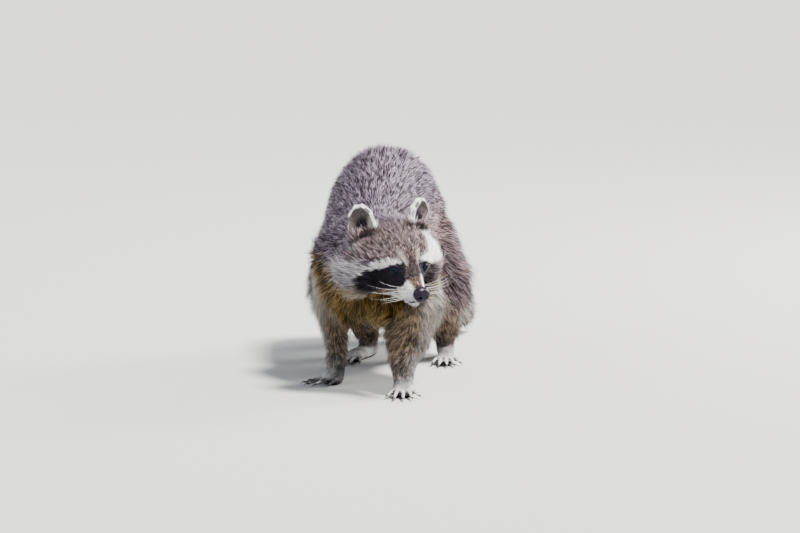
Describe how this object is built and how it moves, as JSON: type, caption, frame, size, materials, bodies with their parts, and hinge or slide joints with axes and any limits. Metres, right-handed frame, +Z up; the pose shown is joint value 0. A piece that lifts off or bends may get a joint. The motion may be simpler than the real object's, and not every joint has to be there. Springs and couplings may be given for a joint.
{
  "type": "raccoon",
  "caption": "Life-size standing raccoon with arched back, head turned to its left, upright ears, pointed muzzle, long-toed paws and a bushy tail laid on the floor.",
  "frame": {"origin": "middle of the bounding box at floor level", "axes": "+Z up, the animal faces -Y, its left side is +X"},
  "size_m": [0.2406, 0.6738, 0.3054],
  "materials": {
    "body_fur": "grizzled grey-brown guard hair over dense underfur",
    "face_fur": "short grizzled fur with a dark mask and white brows",
    "pale_fur": "short white fur",
    "ear_fur": "short fur with a pale rim",
    "foreleg_fur": "pale grey-buff fur of medium length",
    "paw_fur": "very short silvery fur",
    "tail_fur": "bushy fur in tan and dark rings",
    "nose": "moist pebbled bare skin",
    "eye": "wet and glossy",
    "claw": "smooth horn"
  },
  "bodies": {
    "root": {"ear_left": "ear_fur", "ear_right": "ear_fur", "eye_left": "eye", "eye_right": "eye", "forearm_left": "foreleg_fur", "forearm_right": "foreleg_fur", "foreclaw_left_1": "claw", "foreclaw_left_2": "claw", "foreclaw_left_3": "claw", "foreclaw_left_4": "claw", "foreclaw_left_5": "claw", "foreclaw_right_1": "claw", "foreclaw_right_2": "claw", "foreclaw_right_3": "claw", "foreclaw_right_4": "claw", "foreclaw_right_5": "claw", "forepaw_left": "paw_fur", "forepaw_right": "paw_fur", "head": "face_fur", "hind_claw_left_1": "claw", "hind_claw_left_2": "claw", "hind_claw_left_3": "claw", "hind_claw_left_4": "claw", "hind_claw_left_5": "claw", "hind_claw_right_1": "claw", "hind_claw_right_2": "claw", "hind_claw_right_3": "claw", "hind_claw_right_4": "claw", "hind_claw_right_5": "claw", "hind_foot_left": "paw_fur", "hind_foot_right": "paw_fur", "lower_jaw": "pale_fur", "neck": "body_fur", "nose": "nose", "shank_left": "body_fur", "shank_right": "body_fur", "tail_base": "tail_fur", "tail_end": "tail_fur", "tail_middle": "tail_fur", "thigh_left": "body_fur", "thigh_right": "body_fur", "trunk": "body_fur", "upper_arm_left": "foreleg_fur", "upper_arm_right": "foreleg_fur"}
  },
  "joints": []
}
